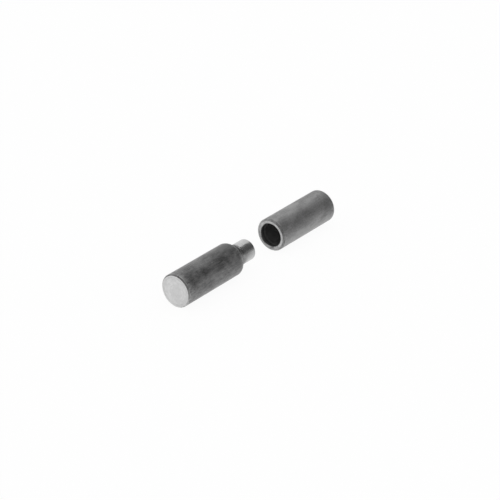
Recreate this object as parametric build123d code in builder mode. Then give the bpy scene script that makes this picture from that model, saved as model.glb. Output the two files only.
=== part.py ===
from build123d import *
import math
import os

# Weld-on hinge in two halves that lift apart. The hinge line is the X axis: the pin half lies at the low end,
# its pin points along +X, and the socket half waits in line with it, drawn clear of the pin. All sizes in mm.

# Barrels
barrel_diameter = 14.0
pin_barrel_length = 35.3
socket_barrel_length = 35.0
flat_end_chamfer = 0.5
closed_end_radius = 0.65

# Pin
pin_diameter = 9.0
pin_projection = 8.0
pin_seat_depth = 17.0
pin_end_chamfer = 0.5
pin_foot_gap = 0.2
relief_width = 1.6
relief_depth = 0.3

# Collar round the pin's root, and the rounded slope from the pin barrel down to it
collar_wall = 0.5
collar_length = 1.7
collar_chamfer = 0.15
seat_edge_break = 0.15
shoulder_slope_angle = 64.0
shoulder_head_radius = 2.3
shoulder_foot_radius = 1.1

# Socket bore: the collar enters the counterbore and the pin the bore behind it
collar_spare_depth = 0.3
socket_spare_depth = 2.3
mouth_edge_break = 0.2
mouth_chamfer = 0.75

# Fits and the distance between the halves
radial_clearance = 0.05
drill_point_angle = 118.0
halves_gap = 15.5

# Radii
barrel_radius = barrel_diameter / 2
pin_radius = pin_diameter / 2
bore_radius = pin_radius + radial_clearance
collar_radius = pin_radius + collar_wall
counterbore_radius = collar_radius + radial_clearance

# The slope's two roundings stay on the slope, whatever its length
slope = math.radians(shoulder_slope_angle)
slope_length = (barrel_radius - collar_radius) / math.sin(slope)
head_radius = min(shoulder_head_radius, 0.65 * slope_length / math.tan(slope / 2))
foot_radius = min(shoulder_foot_radius, 0.32 * slope_length / math.tan(slope / 2))

# Places along the hinge line
slope_foot_x = pin_barrel_length
slope_head_x = slope_foot_x - slope_length * math.cos(slope)
collar_end_x = slope_foot_x + collar_length
pin_foot_x = collar_end_x - pin_seat_depth
relief_start_x = collar_end_x - relief_depth
relief_end_x = relief_start_x + relief_width
pin_tip_x = collar_end_x + pin_projection
mouth_x = pin_tip_x + halves_gap

# Depths
counterbore_depth = collar_length + collar_spare_depth
socket_bore_depth = collar_length + pin_projection + socket_spare_depth
seat_bore_depth = pin_seat_depth + pin_foot_gap
drill_point_length = bore_radius / math.tan(math.radians(drill_point_angle / 2))

os.makedirs("parts", exist_ok=True)


# Pin barrel: turned from round bar, cut square at the flat end, sloped and rounded down to the collar
with BuildPart() as pin_barrel:
    with BuildSketch(Plane.XZ):
        with BuildLine():
            side_line = FilletPolyline(
                (0, barrel_radius),
                (slope_head_x, barrel_radius),
                (slope_foot_x, collar_radius),
                (collar_end_x, collar_radius),
                radius=[head_radius, foot_radius],
            )
            Polyline(side_line @ 1, (collar_end_x, 0), (0, 0), side_line @ 0)
        make_face()
    revolve(axis=Axis.X)
    rims = pin_barrel.edges().filter_by(GeomType.CIRCLE).sort_by(Axis.X)
    chamfer(rims[0], length=flat_end_chamfer)
    chamfer(rims[-1], length=collar_chamfer)

    # Blind seat for the pin, drilled in through the collar, with the drill's cone at its foot
    with BuildSketch(Plane.XZ):
        with BuildLine():
            seat_line = Polyline(
                (collar_end_x, 0),
                (collar_end_x, bore_radius + seat_edge_break),
                (collar_end_x - seat_edge_break, bore_radius),
                (collar_end_x - seat_bore_depth, bore_radius),
                (collar_end_x - seat_bore_depth - drill_point_length, 0),
            )
            Line(seat_line @ 1, seat_line @ 0)
        make_face()
    revolve(axis=Axis.X, mode=Mode.SUBTRACT)

pin_barrel.part.label = "pin_barrel"
export_step(pin_barrel.part, "parts/pin_barrel.step")


# Hinge pin: ground round bar with both ends chamfered and a shallow relief groove where it leaves the collar
with BuildPart() as hinge_pin:
    with BuildSketch(Plane.YZ.offset(pin_foot_x)):
        Circle(pin_radius)
    extrude(amount=pin_tip_x - pin_foot_x)
    chamfer(hinge_pin.edges().filter_by(GeomType.CIRCLE), length=pin_end_chamfer)

    with BuildSketch(Plane.XZ):
        with BuildLine():
            Polyline(
                (relief_start_x, pin_radius),
                (relief_start_x + relief_depth, pin_radius - relief_depth),
                (relief_end_x - relief_depth, pin_radius - relief_depth),
                (relief_end_x, pin_radius),
                close=True,
            )
        make_face()
    revolve(axis=Axis.X, mode=Mode.SUBTRACT)

hinge_pin.part.label = "hinge_pin"
export_step(hinge_pin.part, "parts/hinge_pin.step")


# Socket barrel: round bar with a chamfered mouth and a softly rounded closed end
with BuildPart() as socket_barrel:
    with BuildSketch(Plane.YZ.offset(mouth_x)):
        Circle(barrel_radius)
    extrude(amount=socket_barrel_length)
    rims = socket_barrel.edges().filter_by(GeomType.CIRCLE).sort_by(Axis.X)
    fillet(rims[-1], radius=closed_end_radius)
    chamfer(rims[0], length=mouth_chamfer)

    # Counterbore for the collar, a lead-in at 45 degrees, and the pin's blind bore with the drill's cone
    with BuildSketch(Plane.XZ):
        with BuildLine():
            bore_line = Polyline(
                (mouth_x, 0),
                (mouth_x, counterbore_radius + mouth_edge_break),
                (mouth_x + mouth_edge_break, counterbore_radius),
                (mouth_x + counterbore_depth, counterbore_radius),
                (mouth_x + counterbore_depth + counterbore_radius - bore_radius, bore_radius),
                (mouth_x + socket_bore_depth, bore_radius),
                (mouth_x + socket_bore_depth + drill_point_length, 0),
            )
            Line(bore_line @ 1, bore_line @ 0)
        make_face()
    revolve(axis=Axis.X, mode=Mode.SUBTRACT)

socket_barrel.part.label = "socket_barrel"
export_step(socket_barrel.part, "parts/socket_barrel.step")
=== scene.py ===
import math
from collections import namedtuple

import bmesh
import bpy
from mathutils import Matrix, Vector


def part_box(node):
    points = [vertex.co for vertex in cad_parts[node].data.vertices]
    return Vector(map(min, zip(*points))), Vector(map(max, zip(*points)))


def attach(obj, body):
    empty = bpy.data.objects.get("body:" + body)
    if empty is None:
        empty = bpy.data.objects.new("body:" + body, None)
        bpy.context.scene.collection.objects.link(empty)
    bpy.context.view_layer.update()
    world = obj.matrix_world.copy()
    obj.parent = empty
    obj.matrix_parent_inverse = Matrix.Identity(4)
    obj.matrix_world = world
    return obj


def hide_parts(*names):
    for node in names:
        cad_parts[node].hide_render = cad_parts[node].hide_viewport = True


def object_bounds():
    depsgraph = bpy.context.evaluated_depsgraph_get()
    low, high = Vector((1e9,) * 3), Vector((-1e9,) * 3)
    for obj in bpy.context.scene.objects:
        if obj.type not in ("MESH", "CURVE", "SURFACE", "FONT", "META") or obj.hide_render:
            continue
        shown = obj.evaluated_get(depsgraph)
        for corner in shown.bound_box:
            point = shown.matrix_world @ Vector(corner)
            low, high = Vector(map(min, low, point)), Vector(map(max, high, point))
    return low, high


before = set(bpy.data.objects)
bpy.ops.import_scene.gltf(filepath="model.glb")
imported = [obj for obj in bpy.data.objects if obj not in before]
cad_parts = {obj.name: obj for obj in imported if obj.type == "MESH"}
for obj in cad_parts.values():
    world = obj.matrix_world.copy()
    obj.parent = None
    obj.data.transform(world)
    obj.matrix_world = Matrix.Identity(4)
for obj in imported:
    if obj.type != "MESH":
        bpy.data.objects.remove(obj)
cad_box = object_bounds()

# Sizes are in millimetres, in the hinge's own frame: the hinge line is the X axis, Z is up, the pin barrel's
# flat end is at X = 0 and the hinge lies on a table, at the barrels' lowest line. MM turns them into metres.
MM = 0.001

# Places and main sizes, read from the frame
pin_barrel_low, pin_barrel_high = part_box("pin_barrel")
pin_low, pin_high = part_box("hinge_pin")
socket_low, socket_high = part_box("socket_barrel")
barrel_radius = pin_barrel_high.z / MM
pin_radius = pin_high.z / MM
flat_end_x = pin_barrel_low.x / MM
collar_end_x = pin_barrel_high.x / MM
pin_foot_x = pin_low.x / MM
pin_tip_x = pin_high.x / MM
mouth_x = socket_low.x / MM
closed_end_x = socket_high.x / MM
table_z = -barrel_radius

# Shoulder, collar and edges
collar_wall = 0.5
collar_length = 1.7
collar_chamfer = 0.15
shoulder_slope_angle = 64.0
shoulder_head_radius = 2.3
shoulder_foot_radius = 1.1
flat_end_chamfer = 0.5
closed_end_radius = 0.65
pin_end_chamfer = 0.5
relief_width = 1.6
relief_depth = 0.3
seat_edge_break = 0.15
mouth_edge_break = 0.2
mouth_chamfer = 0.75
worn_edge = 0.1
fine_edge = 0.04

# Bores
radial_clearance = 0.05
pin_foot_gap = 0.2
counterbore_depth = 2.0
socket_bore_depth = 12.0
drill_point_angle = 118.0

bore_radius = pin_radius + radial_clearance
collar_radius = pin_radius + collar_wall
counterbore_radius = collar_radius + radial_clearance
drill_point = bore_radius / math.tan(math.radians(drill_point_angle / 2))
slope_foot_x = collar_end_x - collar_length
slope_head_x = slope_foot_x - (barrel_radius - collar_radius) / math.tan(math.radians(shoulder_slope_angle))

# Mesh fineness
around_steps = 300
skin_step = 0.26
face_step = 0.3
bore_step = 1.2
arc_steps = 4
shoulder_steps = 16
merge_distance = 0.002

# How many swells, pits, draw lines and dents a metre of surface has
swells_in_metre = 160.0
pits_in_metre = 1100.0
draw_lines_in_metre = 1600.0
draw_line_stretch = 14.0
dents_in_metre = 420.0


# Node helpers
NUMBER = "NodeSocketFloat"
VECTOR = "NodeSocketVector"
GEOMETRY = "NodeSocketGeometry"
MATERIAL = "NodeSocketMaterial"


def feed(tree, socket, value):
    """Links a socket, or sets it to a plain value."""
    if isinstance(value, bpy.types.NodeSocket):
        tree.links.new(value, socket)
    else:
        socket.default_value = value


def place(tree, kind, inputs=None, **settings):
    """Adds a node, with its settings and its inputs, which may be numbered or named."""
    made = tree.nodes.new(kind)
    for name, value in settings.items():
        setattr(made, name, value)
    for key, value in (inputs or {}).items():
        feed(tree, made.inputs[key], value)
    return made


def sockets(tree, direction, **kinds):
    """Adds named inputs or outputs to a tree. An underscore in a name stands for a space."""
    for name, kind in kinds.items():
        tree.interface.new_socket(name.replace("_", " "), in_out=direction, socket_type=kind)


def maths(tree, operation, *values):
    """One Math node, which shaders and geometry share."""
    return place(tree, "ShaderNodeMath", dict(enumerate(values)), operation=operation).outputs[0]


def vector_maths(tree, operation, *values, output=0):
    """One Vector Math node."""
    return place(tree, "ShaderNodeVectorMath", dict(enumerate(values)), operation=operation).outputs[output]


def scaled(tree, vector, factor):
    """A vector made longer or shorter."""
    return place(tree, "ShaderNodeVectorMath", {0: vector, "Scale": factor}, operation="SCALE").outputs[0]


def times(tree, first, second):
    return maths(tree, "MULTIPLY", first, second)


def inverse(tree, mask):
    """1 where a mask is 0, and the other way round."""
    return maths(tree, "SUBTRACT", 1.0, mask)


def varied(tree, base, mask, change):
    """A value that has changed by so much where a mask is 1."""
    return maths(tree, "ADD", base, times(tree, mask, change))


def noise(tree, position, scale, detail, seed):
    """Cloudy noise, whose seed is its place along a fourth axis."""
    inputs = {"Vector": position, "Scale": scale, "Detail": detail, "W": seed}
    return place(tree, "ShaderNodeTexNoise", inputs, noise_dimensions="4D").outputs["Fac"]


# Section of a turned piece. A corner's zone and mesh step hold for the stretch that follows it, and its
# rounding has its own steps and its own wear. Each zone has its own material.
SKIN, CUT, BORE, EDGE = 0, 1, 2, 3
Corner = namedtuple("Corner", "x radius zone step rounding steps wear",
                    defaults=(face_step, 0.0, arc_steps, 1.0))


def corner_points(corners, i):
    """Points of the arc that rounds a corner, or the sharp corner itself, each as (x, radius)."""
    corner = Vector(corners[i][:2])
    radius = corners[i].rounding
    steps = corners[i].steps
    if not radius:
        return [corner]
    to_before = (Vector(corners[i - 1][:2]) - corner).normalized()
    to_after = (Vector(corners[i + 1][:2]) - corner).normalized()
    half = to_before.angle(to_after) / 2
    centre = corner + (to_before + to_after).normalized() * radius / math.sin(half)
    first = corner + to_before * radius / math.tan(half) - centre
    last = corner + to_after * radius / math.tan(half) - centre
    sweep = first.angle_signed(last)
    return [centre + Matrix.Rotation(-sweep * k / steps, 2) @ first for k in range(steps + 1)]


def section_points(corners):
    """Walks a section. Returns its points, and for each the zone of the stretch that follows and its wear."""
    points, zones, rims = [], [], []
    arcs = [corner_points(corners, i) for i in range(len(corners))]
    for i, corner in enumerate(corners):
        stretch = []
        if i + 1 < len(corners):
            start, stop = arcs[i][-1], arcs[i + 1][0]
            count = max(1, round((stop - start).length / corner.step))
            stretch = [start.lerp(stop, k / count) for k in range(1, count)]
        points += arcs[i] + stretch
        zones += [corner.zone] * len(arcs[i] + stretch)
        rims += [corner.wear if corner.rounding else 0.0] * len(arcs[i]) + [0.0] * len(stretch)
    return points, zones, rims


def section_object(name, corners):
    """A wire object that holds a section, drawn in the XZ plane, with its zones and rims as attributes."""
    points, zones, rims = section_points(corners)
    mesh = bpy.data.meshes.new(name)
    spots = [(p[0] * MM, 0.0, p[1] * MM) for p in points]
    mesh.from_pydata(spots, [(k, k + 1) for k in range(len(spots) - 1)], [])
    mesh.attributes.new("zone", "INT", "POINT").data.foreach_set("value", zones)
    mesh.attributes.new("rim", "FLOAT", "POINT").data.foreach_set("value", rims)
    made = bpy.data.objects.new(name, mesh)
    bpy.context.scene.collection.objects.link(made)
    return made


# Geometry: turning a section into a solid of revolution with an uneven skin
def uneven(tree, position, scale, amount, seed, stretch=1.0):
    """A swelling and sinking of the surface, in metres. Stretch draws it out along the hinge line."""
    drawn = vector_maths(tree, "MULTIPLY", position, (1 / stretch, 1.0, 1.0))
    swelling = noise(tree, drawn, scale, detail=2.0, seed=seed)
    return times(tree, maths(tree, "SUBTRACT", swelling, 0.5), amount)


def turning_tree():
    """The tree that turns a section about the X axis, gives it relief and sets each zone's material."""
    tree = bpy.data.node_groups.new("turned_piece", "GeometryNodeTree")
    sockets(tree, "INPUT", Section=GEOMETRY, Steps_Around="NodeSocketInt", Swell=NUMBER, Pitting=NUMBER,
            Draw_Lines=NUMBER, Rim_Dents=NUMBER, Seed=NUMBER, Skin_Material=MATERIAL, Cut_Material=MATERIAL,
            Bore_Material=MATERIAL, Edge_Material=MATERIAL)
    sockets(tree, "OUTPUT", Geometry=GEOMETRY)
    given = place(tree, "NodeGroupInput").outputs
    section = given["Section"]
    position = place(tree, "GeometryNodeInputPosition").outputs[0]

    def stored(name, kind):
        return place(tree, "GeometryNodeInputNamedAttribute", {"Name": name},
                     data_type=kind).outputs["Attribute"]

    def sampled(value, kind, index):
        return place(tree, "GeometryNodeSampleIndex", {"Geometry": section, "Value": value, "Index": index},
                     data_type=kind, domain="POINT").outputs["Value"]

    def in_zone(number):
        return place(tree, "FunctionNodeCompare", {"A": stored("zone", "INT"), "B": number},
                     data_type="INT", operation="EQUAL").outputs[0]

    def passed(kind, geometry, inputs=None, **settings):
        return place(tree, kind, {"Geometry": geometry, **(inputs or {})}, **settings).outputs[0]

    # A grid with one column for each point of the section and one row for each step around
    size = place(tree, "GeometryNodeAttributeDomainSize", {"Geometry": section}, component="MESH")
    stations = size.outputs["Point Count"]
    rows = maths(tree, "ADD", given["Steps Around"], 1)
    grid = place(tree, "GeometryNodeMeshGrid",
                 {"Size X": 1.0, "Size Y": 1.0, "Vertices X": stations, "Vertices Y": rows})
    on_grid = place(tree, "ShaderNodeSeparateXYZ", {0: position}).outputs
    station = times(tree, maths(tree, "ADD", on_grid["X"], 0.5), maths(tree, "SUBTRACT", stations, 1))
    angle = times(tree, maths(tree, "ADD", on_grid["Y"], 0.5), math.tau)

    # The section's zones, rims and points, carried around the X axis
    nearest = maths(tree, "ROUND", station)
    zone = sampled(stored("zone", "INT"), "INT", maths(tree, "FLOOR", station))
    rim = sampled(stored("rim", "FLOAT"), "FLOAT", nearest)
    spot = place(tree, "ShaderNodeSeparateXYZ", {0: sampled(position, "FLOAT_VECTOR", nearest)}).outputs
    turned = place(tree, "ShaderNodeCombineXYZ",
                   {"X": spot["X"],
                    "Y": times(tree, spot["Z"], maths(tree, "SINE", angle)),
                    "Z": times(tree, spot["Z"], maths(tree, "COSINE", angle))}).outputs[0]
    mesh = passed("GeometryNodeStoreNamedAttribute", grid.outputs["Mesh"], {"Name": "zone", "Value": zone},
                  data_type="INT", domain="FACE")
    mesh = passed("GeometryNodeStoreNamedAttribute", mesh, {"Name": "rim", "Value": rim},
                  data_type="FLOAT", domain="POINT")
    mesh = passed("GeometryNodeSetPosition", mesh, {"Position": turned})
    mesh = passed("GeometryNodeMergeByDistance", mesh, {"Distance": merge_distance * MM})

    # Relief: swells and pits all over the skin, lines from drawing along it, and knocks on the rims
    seed = given["Seed"]
    swell = uneven(tree, position, swells_in_metre, given["Swell"], seed)
    pits = uneven(tree, position, pits_in_metre, given["Pitting"], maths(tree, "ADD", seed, 3.1))
    lines = uneven(tree, position, draw_lines_in_metre, given["Draw Lines"], maths(tree, "ADD", seed, 5.7),
                   stretch=draw_line_stretch)
    dents = uneven(tree, position, dents_in_metre, given["Rim Dents"], maths(tree, "ADD", seed, 9.3))
    knocks = times(tree, maths(tree, "MINIMUM", dents, 0.0), stored("rim", "FLOAT"))
    skin_relief = maths(tree, "ADD", maths(tree, "ADD", swell, pits), lines)
    relief = maths(tree, "ADD", times(tree, skin_relief, in_zone(SKIN)), knocks)
    outward = place(tree, "GeometryNodeInputNormal").outputs[0]
    mesh = passed("GeometryNodeSetPosition", mesh, {"Offset": scaled(tree, outward, relief)})

    mesh = passed("GeometryNodeSetShadeSmooth", mesh)
    mesh = passed("GeometryNodeRealizeInstances", mesh)
    for number, name in ((SKIN, "Skin Material"), (CUT, "Cut Material"), (BORE, "Bore Material"),
                         (EDGE, "Edge Material")):
        mesh = passed("GeometryNodeSetMaterial", mesh,
                      {"Selection": in_zone(number), "Material": given[name]})
    place(tree, "NodeGroupOutput", {"Geometry": mesh})
    return tree


def turn(name, corners, tree, **values):
    """Turns a section into a finished plain mesh object."""
    made = section_object(name, corners)
    modifier = made.modifiers.new("turning", "NODES")
    modifier.node_group = tree
    names = {item.name: item.identifier for item in tree.interface.items_tree
             if item.item_type == "SOCKET" and item.in_out == "INPUT"}
    for key, value in values.items():
        modifier[names[key.replace("_", " ")]] = value
    bpy.context.view_layer.update()
    evaluated = made.evaluated_get(bpy.context.evaluated_depsgraph_get())
    mesh = bpy.data.meshes.new_from_object(evaluated)
    made.modifiers.clear()
    shape = bmesh.new()
    shape.from_mesh(mesh)
    bmesh.ops.recalc_face_normals(shape, faces=shape.faces)
    shape.to_mesh(mesh)
    shape.free()
    made.data = mesh
    mesh.name = name
    return made


# Shader groups
def group(name, **inputs):
    """Starts a shader node group that puts out one mask. Returns it with the sockets that it is given."""
    tree = bpy.data.node_groups.new(name, "ShaderNodeTree")
    sockets(tree, "INPUT", **inputs)
    sockets(tree, "OUTPUT", Mask=NUMBER)
    return tree, place(tree, "NodeGroupInput").outputs


def use(tree, made, **values):
    """Places a shader group in a tree. Returns its mask."""
    return place(tree, "ShaderNodeGroup", values, node_tree=made).outputs["Mask"]


def banded(tree, value, low, high):
    """Stretches a value from low to high over 0 to 1, with soft ends."""
    return place(tree, "ShaderNodeMapRange", {"Value": value, "From Min": low, "From Max": high},
                 interpolation_type="SMOOTHSTEP").outputs["Result"]


def blotches_group():
    """Cloudy patches, drawn out along the hinge line by Stretch."""
    tree, given = group("blotches", Position=VECTOR, Size=NUMBER, Stretch=NUMBER, Detail=NUMBER, Low=NUMBER,
                        High=NUMBER, Seed=NUMBER)
    squeeze = place(tree, "ShaderNodeCombineXYZ", {"X": maths(tree, "DIVIDE", 1.0, given["Stretch"]),
                                                   "Y": 1.0, "Z": 1.0}).outputs[0]
    drawn = vector_maths(tree, "MULTIPLY", given["Position"], squeeze)
    scale = maths(tree, "DIVIDE", 1.0, given["Size"])
    clouds = noise(tree, drawn, scale, given["Detail"], given["Seed"])
    place(tree, "NodeGroupOutput", {"Mask": banded(tree, clouds, given["Low"], given["High"])})
    return tree


def tool_marks_group():
    """Fine parallel marks of a cutter or a wheel, one after another along Travel, broken up a little."""
    tree, given = group("tool_marks", Travel=NUMBER, Position=VECTOR, Pitch=NUMBER, Wander=NUMBER,
                        Seed=NUMBER)
    wander = noise(tree, given["Position"], scale=0.35, detail=1.0, seed=given["Seed"])
    shifted = maths(tree, "ADD", given["Travel"], times(tree, wander, given["Wander"]))
    count = maths(tree, "DIVIDE", shifted, given["Pitch"])
    lines = place(tree, "ShaderNodeTexNoise", {"W": count, "Scale": 1.0, "Detail": 2.0},
                  noise_dimensions="1D").outputs["Fac"]
    place(tree, "NodeGroupOutput", {"Mask": banded(tree, lines, 0.3, 0.7)})
    return tree


def specks_group():
    """Small scattered spots, such as pits or flakes. Share says how many of the cells hold one."""
    tree, given = group("specks", Position=VECTOR, Size=NUMBER, Share=NUMBER, Seed=NUMBER)
    shift = place(tree, "ShaderNodeCombineXYZ", {"X": given["Seed"], "Y": given["Seed"], "Z": given["Seed"]})
    moved = vector_maths(tree, "ADD", given["Position"], shift.outputs[0])
    cells = place(tree, "ShaderNodeTexVoronoi",
                  {"Vector": moved, "Scale": maths(tree, "DIVIDE", 1.0, given["Size"])}).outputs
    near = banded(tree, cells["Distance"], 0.42, 0.12)
    chance = place(tree, "ShaderNodeSeparateColor", {0: cells["Color"]}).outputs["Red"]
    held = maths(tree, "LESS_THAN", chance, given["Share"])
    place(tree, "NodeGroupOutput", {"Mask": times(tree, near, held)})
    return tree


def rim_wear_group():
    """Bare metal that shows where a rim is rubbed, patchy around the rim."""
    tree, given = group("rim_wear", Rim=NUMBER, Position=VECTOR, Amount=NUMBER, Seed=NUMBER)
    patchy = noise(tree, given["Position"], scale=0.8, detail=3.0, seed=given["Seed"])
    broken = banded(tree, patchy, 0.4, 0.62)
    bare = times(tree, times(tree, given["Rim"], broken), given["Amount"])
    place(tree, "NodeGroupOutput", {"Mask": bare})
    return tree


blotches = blotches_group()
tool_marks = tool_marks_group()
specks = specks_group()
rim_wear = rim_wear_group()


# Materials
UP = (0.0, 0.0, 1.0)
DOWN = (0.0, 0.0, -1.0)


def grey(value):
    return (value, value, value, 1.0)


def steel(name):
    """Starts a steel. Returns it, its tree, its surface shader and the place on it, in millimetres."""
    made = bpy.data.materials.new(name)
    made.use_nodes = True
    tree = made.node_tree
    surface = tree.nodes["Principled BSDF"]
    position = scaled(tree, place(tree, "ShaderNodeTexCoord").outputs["Object"], 1 / MM)
    return made, tree, surface, position


def mixed(tree, share, first, second):
    """One colour fading into another."""
    made = place(tree, "ShaderNodeMix", data_type="RGBA", clamp_factor=True)
    feed(tree, made.inputs["Factor"], share)
    feed(tree, made.inputs["A"], first)
    feed(tree, made.inputs["B"], second)
    return made.outputs["Result"]


def covered(tree, colour, *layers):
    """A colour with greys laid over it one after another, each as far as its mask says."""
    for mask, value in layers:
        colour = mixed(tree, mask, colour, grey(value))
    return colour


def weighed(tree, *parts):
    """Adds masks up, each by its own weight."""
    total = None
    for mask, weight in parts:
        part = times(tree, mask, weight)
        total = part if total is None else maths(tree, "ADD", total, part)
    return total


def surfaced(tree, surface, colour, metallic, roughness):
    """Sets a surface's colour, metal and roughness, each a plain value or one that varies over it."""
    feed(tree, surface.inputs["Base Color"], colour)
    feed(tree, surface.inputs["Metallic"], metallic)
    feed(tree, surface.inputs["Roughness"], roughness)


def raised(tree, surface, height, strength, distance):
    """Gives a surface fine relief by bump."""
    bump = place(tree, "ShaderNodeBump", {"Strength": strength, "Distance": distance * MM, "Height": height})
    feed(tree, surface.inputs["Normal"], bump.outputs["Normal"])


def along(tree, position):
    """Place along the hinge line."""
    return place(tree, "ShaderNodeSeparateXYZ", {0: position}).outputs["X"]


def from_line(tree, position):
    """The vector straight out from the hinge line to a place."""
    return vector_maths(tree, "MULTIPLY", position, (0.0, 1.0, 1.0))


def across(tree, position):
    """Distance from the hinge line."""
    return vector_maths(tree, "LENGTH", from_line(tree, position), output="Value")


def toward(tree, position, side, low, high):
    """0 to 1 around the hinge line: how far round towards a side, given as a direction across the line."""
    outward = vector_maths(tree, "NORMALIZE", from_line(tree, position))
    return banded(tree, vector_maths(tree, "DOT_PRODUCT", outward, side, output="Value"), low, high)


def underneath(tree, position, low, high):
    """0 over the top of a bar and 1 along its underside, as the hinge lies in the photo."""
    return toward(tree, position, DOWN, -high, -low)


def worn_and_reflecting_toward(tree, position, side, patches):
    """How far a chamfer is worn bare and painted brighter as a reflection: most toward one side, and
    unevenly.
    """
    return times(tree, toward(tree, position, side, -1.1, 0.9), varied(tree, 0.6, patches, 0.4))


def rim_of(tree):
    """How much of a rim a place is, as its piece's section says."""
    return place(tree, "ShaderNodeAttribute", attribute_name="rim").outputs["Fac"]


def mill_scale():
    """Dark scale from hot rolling: cloudy, flecked, streaky, chipped at the flat end, and painted paler
    underneath.
    """
    made, tree, surface, position = steel("mill_scale")
    x = along(tree, position)

    # Mottling, from broad to fine, and wear
    clouds = use(tree, blotches, Position=position, Size=3.0, Stretch=2.0, Detail=5.0, Low=0.36, High=0.64,
                 Seed=1.0)
    patches = use(tree, blotches, Position=position, Size=0.95, Stretch=2.2, Detail=4.0, Low=0.36, High=0.64,
                  Seed=12.0)
    streaks = use(tree, blotches, Position=position, Size=0.4, Stretch=9.0, Detail=3.0, Low=0.35, High=0.65,
                  Seed=2.0)
    grain = use(tree, blotches, Position=position, Size=0.28, Stretch=1.4, Detail=4.0, Low=0.35, High=0.65,
                Seed=3.0)
    flakes = use(tree, specks, Position=position, Size=0.9, Share=0.3, Seed=4.0)
    flecks = use(tree, specks, Position=position, Size=0.5, Share=0.18, Seed=6.0)
    chips = use(tree, specks, Position=position, Size=0.8, Share=0.55, Seed=18.0)
    wear = use(tree, rim_wear, Rim=rim_of(tree), Position=position, Amount=0.9, Seed=5.0)

    # Parts of the bar that differ: the flat end and the far half, and painted light over top, underside and
    # neck
    near_end = banded(tree, x, flat_end_x + 3.4, flat_end_x + 0.6)
    far_half = banded(tree, x, flat_end_x + 13.0, slope_head_x - 3.0)
    # Painted light: paler over the top near the flat end
    painted_top_light = times(tree, toward(tree, position, (0.0, 0.3, 0.95), 0.55, 0.9), inverse(tree, far_half))
    far_top = times(tree, far_half, toward(tree, position, (0.0, 0.1, 1.0), 0.55, 0.9))
    # Painted shade: darker toward the front of the top
    painted_front_shade = toward(tree, position, (0.0, -0.41, 0.91), 0.82, 0.97)
    # Painted light: paler along the underside, where the streaks show more too
    painted_underside_light = underneath(tree, position, -0.2, 0.35)
    neck = weighed(tree, (banded(tree, x, slope_head_x - 5.0, slope_head_x), 0.3),
                   (banded(tree, x, slope_head_x, slope_foot_x), 0.4))
    # Painted light: the low side of the neck before the collar is made paler where the collar shades it
    painted_neck_light = times(tree, neck, underneath(tree, position, 0.3, 0.6))

    tone = weighed(tree, (clouds, 0.34), (patches, 0.29), (streaks, 0.18), (grain, 0.19), (painted_underside_light, 0.17),
                   (painted_top_light, 0.1), (times(tree, streaks, painted_underside_light), 0.16), (painted_front_shade, -0.1))
    # Pale flecks, more of them over the top as painted light
    pale_flecks = times(tree, times(tree, flecks, varied(tree, 0.5, painted_top_light, 0.6)), grain)
    knocked = times(tree, near_end, weighed(tree, (chips, 0.5), (patches, 0.45)))
    colour = covered(tree, mixed(tree, tone, grey(0.02), grey(0.16)), (times(tree, far_top, 0.6), 0.06),
                     (painted_neck_light, 0.2), (times(tree, flakes, 0.5), 0.03), (pale_flecks, 0.32), (knocked, 0.26),
                     (wear, 0.42))
    surfaced(tree, surface, colour, metallic=varied(tree, 0.1, wear, 0.7),
             roughness=varied(tree, 0.38, tone, -0.08))
    height = weighed(tree, (patches, 0.4), (grain, 0.5), (streaks, 0.4), (flakes, -0.6))
    raised(tree, surface, height, strength=0.5, distance=0.03)
    return made


def scale_edge():
    """The flat end's chamfer: still under scale on top, and on its lower and far sides worn bare and painted
    brighter as a reflection.
    """
    made, tree, surface, position = steel("scale_edge")
    patches = use(tree, blotches, Position=position, Size=1.1, Stretch=1.0, Detail=4.0, Low=0.36, High=0.64,
                  Seed=14.0)
    # Worn bare and painted reflection: brighter and more metallic toward the lower far side
    worn_and_reflecting = worn_and_reflecting_toward(tree, position, (0.0, 0.4, -0.9), patches)
    colour = covered(tree, mixed(tree, patches, grey(0.07), grey(0.14)), (worn_and_reflecting, 0.66))
    surfaced(tree, surface, colour, metallic=varied(tree, 0.1, worn_and_reflecting, 0.9),
             roughness=varied(tree, 0.36, patches, 0.1))
    raised(tree, surface, patches, strength=0.3, distance=0.015)
    return made


def cut_end():
    """The sawn and faced end of the bar: bright, nearly even, with faint rings, short arcs and smears."""
    made, tree, surface, position = steel("cut_end")
    radius = across(tree, position)
    rings = use(tree, tool_marks, Travel=radius, Position=position, Pitch=0.12, Wander=0.1, Seed=1.0)
    broad_rings = use(tree, tool_marks, Travel=radius, Position=position, Pitch=0.5, Wander=0.5, Seed=11.0)
    arcs = use(tree, blotches, Position=position, Size=2.2, Stretch=1.0, Detail=2.0, Low=0.42, High=0.6,
               Seed=15.0)
    smears = use(tree, blotches, Position=position, Size=1.1, Stretch=1.0, Detail=4.0, Low=0.34, High=0.66,
                 Seed=2.0)
    outer_band = times(tree, banded(tree, radius, barrel_radius * 0.74, barrel_radius * 0.81),
                       banded(tree, radius, barrel_radius * 0.9, barrel_radius * 0.84))
    tone = weighed(tree, (rings, 0.25), (times(tree, broad_rings, arcs), 0.55), (smears, 0.4))
    colour = covered(tree, mixed(tree, tone, grey(0.59), grey(0.78)),
                     (times(tree, outer_band, times(tree, arcs, 0.55)), 0.5))
    surfaced(tree, surface, colour, metallic=1.0, roughness=varied(tree, 0.42, smears, 0.12))
    raised(tree, surface, rings, strength=0.25, distance=0.01)
    return made


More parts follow.
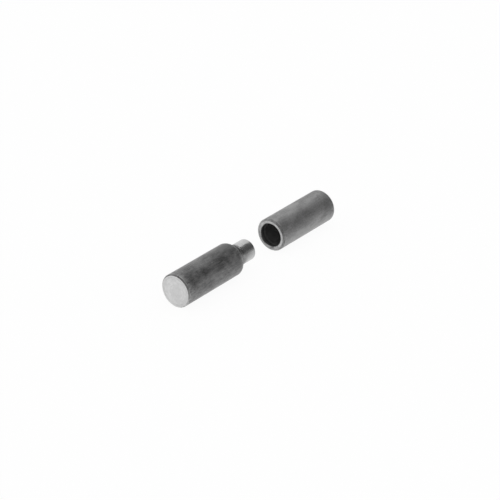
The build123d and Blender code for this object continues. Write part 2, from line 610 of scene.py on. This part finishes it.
def ground_steel():
    """The pin's ground surface: bright, with fine marks of the wheel, an oily film, and painted shade at the
    sides and root.
    """
    made, tree, surface, position = steel("ground_steel")
    x = along(tree, position)
    marks = use(tree, tool_marks, Travel=x, Position=position, Pitch=0.09, Wander=0.05, Seed=3.0)
    film = use(tree, blotches, Position=position, Size=2.2, Stretch=1.5, Detail=3.0, Low=0.35, High=0.65,
               Seed=4.0)
    # Painted shade: darker on the underside near the root, by the collar
    root = times(tree, banded(tree, x, collar_end_x + 3.8, collar_end_x + 0.6),
                 underneath(tree, position, -0.3, 0.4))
    # Painted shade: a dark band along the flanks, strongest at the root and fading toward the tip
    sides = times(tree, toward(tree, position, DOWN, -0.5, -0.32),
                  inverse(tree, toward(tree, position, DOWN, -0.32, 0.5)))
    to_tip = banded(tree, x, collar_end_x + 1.5, pin_tip_x - 1.0)
    painted_flank_shade = times(tree, sides, varied(tree, 0.78, to_tip, -0.42))
    tone = weighed(tree, (marks, 0.4), (film, 0.6))
    colour = covered(tree, mixed(tree, tone, grey(0.47), grey(0.58)), (painted_flank_shade, 0.14),
                     (times(tree, root, 0.7), 0.15))
    surfaced(tree, surface, colour, metallic=1.0, roughness=varied(tree, 0.22, film, 0.08))
    raised(tree, surface, marks, strength=0.15, distance=0.006)
    return made


def drawn_skin():
    """The socket barrel's skin: smoother and paler than scale, with stains, fine grain, draw lines and
    painted light.
    """
    made, tree, surface, position = steel("drawn_skin")
    x = along(tree, position)
    lines = use(tree, blotches, Position=position, Size=0.35, Stretch=14.0, Detail=4.0, Low=0.35, High=0.65,
                Seed=6.0)
    stains = use(tree, blotches, Position=position, Size=3.4, Stretch=1.8, Detail=5.0, Low=0.41, High=0.61,
                 Seed=7.0)
    grain = use(tree, blotches, Position=position, Size=0.4, Stretch=1.6, Detail=4.0, Low=0.35, High=0.65,
                Seed=8.0)
    rings = use(tree, tool_marks, Travel=across(tree, position), Position=position, Pitch=0.22, Wander=0.25,
                Seed=19.0)
    wear = use(tree, rim_wear, Rim=rim_of(tree), Position=position, Amount=0.6, Seed=9.0)

    # Parts of the barrel that differ: its round side and its closed end, which keeps the cutter's rings
    side = banded(tree, x, closed_end_x - 0.08, closed_end_x - closed_end_radius)
    end = inverse(tree, side)
    end_rings = times(tree, rings, end)
    far_half = banded(tree, x, mouth_x + 14.0, closed_end_x - 6.0)
    # Painted light: the round side is paler over the top and along the underside, and paler still low down
    around = weighed(tree, (underneath(tree, position, -0.2, 0.35), 0.35),
                     (toward(tree, position, UP, 0.65, 0.92), 0.3))
    painted_low_side_light = times(tree, underneath(tree, position, -0.5, 0.0), side)

    tone = weighed(tree, (lines, 0.2), (stains, 0.46), (grain, 0.34), (far_half, -0.16),
                   (times(tree, around, side), 1.0), (end_rings, 0.4), (end, 0.1))
    colour = covered(tree, mixed(tree, tone, grey(0.165), grey(0.3)), (times(tree, painted_low_side_light, 0.8), 0.37),
                     (wear, 0.45))
    surfaced(tree, surface, colour, metallic=0.72, roughness=varied(tree, 0.57, tone, -0.1))
    height = weighed(tree, (lines, 0.5), (grain, 0.5), (end_rings, 0.4))
    raised(tree, surface, height, strength=0.35, distance=0.02)
    return made


def machined_mouth():
    """The faced ring round the socket: bright, with turning rings, dark smudges and painted shade on its
    lower far side.
    """
    made, tree, surface, position = steel("machined_mouth")
    rings = use(tree, tool_marks, Travel=across(tree, position), Position=position, Pitch=0.1, Wander=0.06,
                Seed=5.0)
    film = use(tree, blotches, Position=position, Size=2.6, Stretch=1.0, Detail=3.0, Low=0.4, High=0.6,
               Seed=6.0)
    smudges = use(tree, blotches, Position=position, Size=1.7, Stretch=1.0, Detail=3.0, Low=0.48, High=0.64,
                  Seed=16.0)
    # Painted shade: the ring is darker toward its lower far side, and the smudges gather there
    painted_ring_shade = toward(tree, position, (0.0, 0.6, -0.8), -0.2, 0.9)
    tone = weighed(tree, (rings, 0.35), (film, 0.65))
    colour = covered(tree, mixed(tree, tone, grey(0.4), grey(0.54)), (times(tree, painted_ring_shade, 0.6), 0.2),
                     (times(tree, smudges, varied(tree, 0.2, painted_ring_shade, 0.6)), 0.12))
    surfaced(tree, surface, colour, metallic=1.0, roughness=varied(tree, 0.27, film, 0.08))
    raised(tree, surface, rings, strength=0.25, distance=0.008)
    return made


def mouth_edge():
    """The chamfer outside the mouth: dark and less metallic on top, brighter underneath, partly worn bare and
    partly painted reflection.
    """
    made, tree, surface, position = steel("mouth_edge")
    patches = use(tree, blotches, Position=position, Size=0.9, Stretch=1.0, Detail=4.0, Low=0.36, High=0.64,
                  Seed=17.0)
    # Worn bare and painted reflection: brighter and more metallic toward the lower far side
    worn_and_reflecting = worn_and_reflecting_toward(tree, position, (0.0, 0.75, -0.65), patches)
    colour = covered(tree, mixed(tree, patches, grey(0.11), grey(0.19)), (worn_and_reflecting, 0.4))
    surfaced(tree, surface, colour, metallic=varied(tree, 0.4, worn_and_reflecting, 0.6), roughness=0.34)
    raised(tree, surface, patches, strength=0.25, distance=0.012)
    return made


def bore_wall():
    """Drilled bores: oily, with painted light: darkest behind the opening and paler with depth, where less
    light comes.
    """
    made, tree, surface, position = steel("bore_wall")
    x = along(tree, position)
    marks = use(tree, tool_marks, Travel=x, Position=position, Pitch=0.18, Wander=0.15, Seed=7.0)
    film = use(tree, blotches, Position=position, Size=1.8, Stretch=1.5, Detail=3.0, Low=0.35, High=0.65,
               Seed=8.0)
    opening = banded(tree, x, mouth_x + counterbore_depth - 0.1, mouth_x + 0.7)
    inside = banded(tree, x, mouth_x + 0.8, mouth_x + 5.5)
    deep = banded(tree, x, mouth_x + 5.0, mouth_x + 10.0)
    tone = weighed(tree, (marks, 0.5), (film, 0.5))
    colour = mixed(tree, inside, mixed(tree, tone, grey(0.018), grey(0.028)),
                   mixed(tree, tone, grey(0.065), grey(0.11)))
    colour = covered(tree, colour, (times(tree, opening, 0.8), 0.065), (times(tree, deep, 0.7), 0.17))
    surfaced(tree, surface, colour, metallic=0.0, roughness=varied(tree, 0.6, film, 0.15))
    surface.inputs["Specular IOR Level"].default_value = 0.2
    raised(tree, surface, marks, strength=0.3, distance=0.012)
    return made


def turned_end():
    """The lathe's finish on the pin's ends: duller and darker than the ground skin, with rings."""
    made, tree, surface, position = steel("turned_end")
    rings = use(tree, tool_marks, Travel=across(tree, position), Position=position, Pitch=0.1, Wander=0.08,
                Seed=9.0)
    film = use(tree, blotches, Position=position, Size=1.5, Stretch=1.0, Detail=3.0, Low=0.35, High=0.65,
               Seed=10.0)
    tone = weighed(tree, (rings, 0.45), (film, 0.55))
    colour = mixed(tree, tone, grey(0.3), grey(0.46))
    surfaced(tree, surface, colour, metallic=1.0, roughness=varied(tree, 0.3, film, 0.1))
    raised(tree, surface, rings, strength=0.2, distance=0.008)
    return made


def turned_groove():
    """The relief groove at the pin's root: turned bright, with blotches of grime, and painted shade darkening
    it toward its far wall.
    """
    made, tree, surface, position = steel("turned_groove")
    grime = use(tree, blotches, Position=position, Size=1.2, Stretch=1.0, Detail=4.0, Low=0.36, High=0.66,
                Seed=13.0)
    # Painted shade: darker toward the groove's far wall
    painted_groove_shade = banded(tree, along(tree, position), collar_end_x + 0.1, collar_end_x + 0.9)
    colour = mixed(tree, painted_groove_shade, mixed(tree, grime, grey(0.6), grey(0.42)),
                   mixed(tree, grime, grey(0.34), grey(0.22)))
    surfaced(tree, surface, colour, metallic=1.0, roughness=varied(tree, 0.24, grime, 0.1))
    raised(tree, surface, grime, strength=0.2, distance=0.008)
    return made


scale_skin = mill_scale()
end_edge = scale_edge()
end_face = cut_end()
pin_skin = ground_steel()
pin_turned = turned_end()
pin_groove = turned_groove()
socket_skin = drawn_skin()
mouth_face = machined_mouth()
mouth_rim = mouth_edge()
bore_skin = bore_wall()


# Pieces
turning = turning_tree()


def pin_barrel():
    """Barrel with the bright flat end, the rounded slope down to the collar and the blind seat of the pin."""
    seat_foot_x = pin_foot_x - pin_foot_gap
    corners = [
        Corner(flat_end_x, 0.0, CUT),
        Corner(flat_end_x, barrel_radius - flat_end_chamfer, EDGE, rounding=worn_edge),
        Corner(flat_end_x + flat_end_chamfer, barrel_radius, SKIN, skin_step, worn_edge),
        Corner(slope_head_x, barrel_radius, SKIN, skin_step, shoulder_head_radius, shoulder_steps, wear=0.25),
        Corner(slope_foot_x, collar_radius, SKIN, skin_step, shoulder_foot_radius, shoulder_steps, wear=0.0),
        Corner(collar_end_x - collar_chamfer, collar_radius, SKIN, rounding=fine_edge, wear=0.1),
        Corner(collar_end_x, collar_radius - collar_chamfer, SKIN, rounding=fine_edge, wear=0.1),
        Corner(collar_end_x, bore_radius + seat_edge_break, BORE, rounding=fine_edge, wear=0.0),
        Corner(collar_end_x - seat_edge_break, bore_radius, BORE, bore_step, fine_edge),
        Corner(seat_foot_x, bore_radius, BORE, bore_step),
        Corner(seat_foot_x - drill_point, 0.0, BORE),
    ]
    return turn("pin_barrel_steel", corners, turning, Steps_Around=around_steps, Swell=0.05 * MM,
                Pitting=0.03 * MM, Draw_Lines=0.02 * MM, Rim_Dents=0.1 * MM, Seed=11.0,
                Skin_Material=scale_skin, Cut_Material=end_face, Bore_Material=bore_skin,
                Edge_Material=end_edge)


def hinge_pin():
    """Ground pin with a chamfer at each end and a relief groove where it leaves the collar."""
    relief_start_x = collar_end_x - relief_depth
    relief_end_x = relief_start_x + relief_width
    corners = [
        Corner(pin_foot_x, 0.0, CUT),
        Corner(pin_foot_x, pin_radius - pin_end_chamfer, CUT, rounding=worn_edge),
        Corner(pin_foot_x + pin_end_chamfer, pin_radius, SKIN, bore_step, worn_edge),
        Corner(relief_start_x, pin_radius, EDGE, rounding=fine_edge, wear=0.0),
        Corner(relief_start_x + relief_depth, pin_radius - relief_depth, EDGE, rounding=worn_edge, wear=0.0),
        Corner(relief_end_x - relief_depth, pin_radius - relief_depth, EDGE, rounding=worn_edge, wear=0.0),
        Corner(relief_end_x, pin_radius, SKIN, skin_step, fine_edge, wear=0.0),
        Corner(pin_tip_x - pin_end_chamfer, pin_radius, SKIN, rounding=worn_edge),
        Corner(pin_tip_x, pin_radius - pin_end_chamfer, CUT, rounding=worn_edge),
        Corner(pin_tip_x, 0.0, CUT),
    ]
    return turn("hinge_pin_steel", corners, turning, Steps_Around=around_steps, Swell=0.0, Pitting=0.0,
                Draw_Lines=0.0, Rim_Dents=0.04 * MM, Seed=23.0, Skin_Material=pin_skin,
                Cut_Material=pin_turned, Bore_Material=pin_turned, Edge_Material=pin_groove)


def socket_barrel():
    """Barrel with the machined mouth, the counterbore, the blind bore behind it and the closed end."""
    bore_foot_x = mouth_x + socket_bore_depth
    step_x = mouth_x + counterbore_depth
    lead_in = counterbore_radius - bore_radius
    corners = [
        Corner(bore_foot_x + drill_point, 0.0, BORE),
        Corner(bore_foot_x, bore_radius, BORE),
        Corner(step_x + lead_in, bore_radius, BORE, rounding=fine_edge),
        Corner(step_x, counterbore_radius, BORE, rounding=fine_edge),
        Corner(mouth_x + mouth_edge_break, counterbore_radius, CUT, rounding=fine_edge),
        Corner(mouth_x, counterbore_radius + mouth_edge_break, CUT, rounding=fine_edge),
        Corner(mouth_x, barrel_radius - mouth_chamfer, EDGE, rounding=worn_edge),
        Corner(mouth_x + mouth_chamfer, barrel_radius, SKIN, skin_step, worn_edge),
        Corner(closed_end_x, barrel_radius, SKIN, rounding=closed_end_radius, steps=shoulder_steps, wear=0.5),
        Corner(closed_end_x, 0.0, SKIN),
    ]
    return turn("socket_barrel_steel", corners, turning, Steps_Around=around_steps, Swell=0.04 * MM,
                Pitting=0.01 * MM, Draw_Lines=0.03 * MM, Rim_Dents=0.1 * MM, Seed=37.0,
                Skin_Material=socket_skin, Cut_Material=mouth_face, Bore_Material=bore_skin,
                Edge_Material=mouth_rim)


for piece, node, body, slot in (
    (pin_barrel(), "pin_barrel", "pin_half", "scaled_steel"),
    (hinge_pin(), "hinge_pin", "pin", "ground_steel"),
    (socket_barrel(), "socket_barrel", "socket_half", "drawn_steel"),
):
    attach(piece, body)
    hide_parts(node)


# Table, surround, light and camera, with angles in degrees
table_size = 8000.0
table_tone = 0.9
table_whiteness = 0.94
surround_radius = 1000.0
surround_height = 1600.0
surround_from = -185.0
surround_to = 5.0
surround_steps = 64
surround_tone = 0.13
surround_foot = 0.45
surround_fade = 300.0
lamp_height = 1100.0
lamp_width = 1300.0
lamp_radiance = 0.3
sky_strength = 0.9

camera_target = (55.86, 7.10, table_z + 0.13)
camera_azimuth = -51.7
camera_elevation = 26.46
camera_distance = 816.2
camera_roll = -1.13
camera_lens = 144.0
camera_clip = 10.0


def plainly_seen(tree):
    """1 for a ray from the camera or one that a mirror or glass sends on, and 0 for a ray of soft light."""
    path = place(tree, "ShaderNodeLightPath").outputs
    seen = maths(tree, "MAXIMUM", path["Is Camera Ray"], path["Is Glossy Ray"])
    return maths(tree, "MAXIMUM", seen, path["Is Transmission Ray"])


def stage_material(name):
    """Starts a material with an empty tree. Returns both."""
    made = bpy.data.materials.new(name)
    made.use_nodes = True
    made.node_tree.nodes.clear()
    return made, made.node_tree


def stage_object(name, spots, faces, material):
    """Adds a plain object that belongs to the stage, not to the hinge."""
    mesh = bpy.data.meshes.new(name)
    mesh.from_pydata(spots, [], faces)
    mesh.materials.append(material)
    made = bpy.data.objects.new(name, mesh)
    bpy.context.scene.collection.objects.link(made)


def pale_table():
    """A white table. Most of it shows as plain white, and the rest holds the soft shadow."""
    made, tree = stage_material("pale_table")
    soft = place(tree, "ShaderNodeBsdfDiffuse", {"Color": grey(table_tone)})
    white = place(tree, "ShaderNodeEmission", {"Color": grey(1.0), "Strength": 1.0})
    share = times(tree, plainly_seen(tree), table_whiteness)
    mix = place(tree, "ShaderNodeMixShader", {0: share, 1: soft.outputs[0], 2: white.outputs[0]})
    place(tree, "ShaderNodeOutputMaterial", {"Surface": mix.outputs[0]})
    half = table_size * MM / 2
    top = table_z * MM
    spots = [(-half, -half, top), (half, -half, top), (half, half, top), (-half, half, top)]
    stage_object("table", spots, [(0, 1, 2, 3)], made)


def dim_surround():
    """The dim room around the table. Only shiny metal mirrors it: the camera and soft light pass it."""
    made, tree = stage_material("dim_surround")
    clear = place(tree, "ShaderNodeBsdfTransparent")
    shown = place(tree, "ShaderNodeNewGeometry").outputs["Position"]
    height = place(tree, "ShaderNodeSeparateXYZ", {0: shown}).outputs["Z"]
    low_down = banded(tree, height, surround_fade * MM, table_z * MM)
    colour = mixed(tree, low_down, grey(surround_tone), grey(surround_foot))
    dim = place(tree, "ShaderNodeEmission", {"Color": colour, "Strength": 1.0})
    mirrored = place(tree, "ShaderNodeLightPath").outputs["Is Glossy Ray"]
    mix = place(tree, "ShaderNodeMixShader", {0: mirrored, 1: clear.outputs[0], 2: dim.outputs[0]})
    place(tree, "ShaderNodeOutputMaterial", {"Surface": mix.outputs[0]})
    centre = (cad_box[0] + cad_box[1]) / 2
    spots = []
    for k in range(surround_steps + 1):
        turn_by = math.radians(surround_from + (surround_to - surround_from) * k / surround_steps)
        spot = centre + surround_radius * MM * Vector((math.cos(turn_by), math.sin(turn_by), 0.0))
        spots += [(spot.x, spot.y, table_z * MM), (spot.x, spot.y, (table_z + surround_height) * MM)]
    faces = [(2 * k, 2 * k + 2, 2 * k + 3, 2 * k + 1) for k in range(surround_steps)]
    stage_object("surround", spots, faces, made)


def soft_light():
    """A wide soft lamp overhead and an even sky, which shows white behind the hinge."""
    lamp = bpy.data.lights.new("overhead", "AREA")
    lamp.shape = "DISK"
    lamp.size = lamp_width * MM
    lamp.energy = lamp_radiance * math.pi * math.pi * (lamp_width * MM / 2) ** 2
    made = bpy.data.objects.new("overhead", lamp)
    made.location = ((cad_box[0] + cad_box[1]) / 2).xy.to_3d() + Vector((0, 0, lamp_height * MM))
    bpy.context.scene.collection.objects.link(made)
    world = bpy.data.worlds.new("studio")
    bpy.context.scene.world = world
    world.use_nodes = True
    tree = world.node_tree
    tree.nodes.clear()
    strength = varied(tree, sky_strength, plainly_seen(tree), 1.0 - sky_strength)
    sky = place(tree, "ShaderNodeBackground", {"Color": grey(1.0), "Strength": strength})
    place(tree, "ShaderNodeOutputWorld", {"Surface": sky.outputs[0]})


def aim_camera():
    """Puts the camera where the photo was taken from, and turns it to its target."""
    azimuth = math.radians(camera_azimuth)
    elevation = math.radians(camera_elevation)
    back = Vector((math.sin(azimuth) * math.cos(elevation), -math.cos(azimuth) * math.cos(elevation),
                   math.sin(elevation)))
    data = bpy.data.cameras.new("camera")
    data.lens = camera_lens
    data.clip_start = camera_clip * MM
    made = bpy.data.objects.new("camera", data)
    made.location = Vector(camera_target) * MM + back * (camera_distance * MM)
    turned = (-back).to_track_quat("-Z", "Y").to_matrix().to_4x4()
    made.matrix_world = (Matrix.Translation(made.location) @ turned
                         @ Matrix.Rotation(math.radians(camera_roll), 4, "Z"))
    bpy.context.scene.collection.objects.link(made)
    bpy.context.scene.camera = made


pale_table()
dim_surround()
soft_light()
aim_camera()
bpy.context.scene.view_settings.view_transform = "Standard"

bpy.context.view_layer.update()
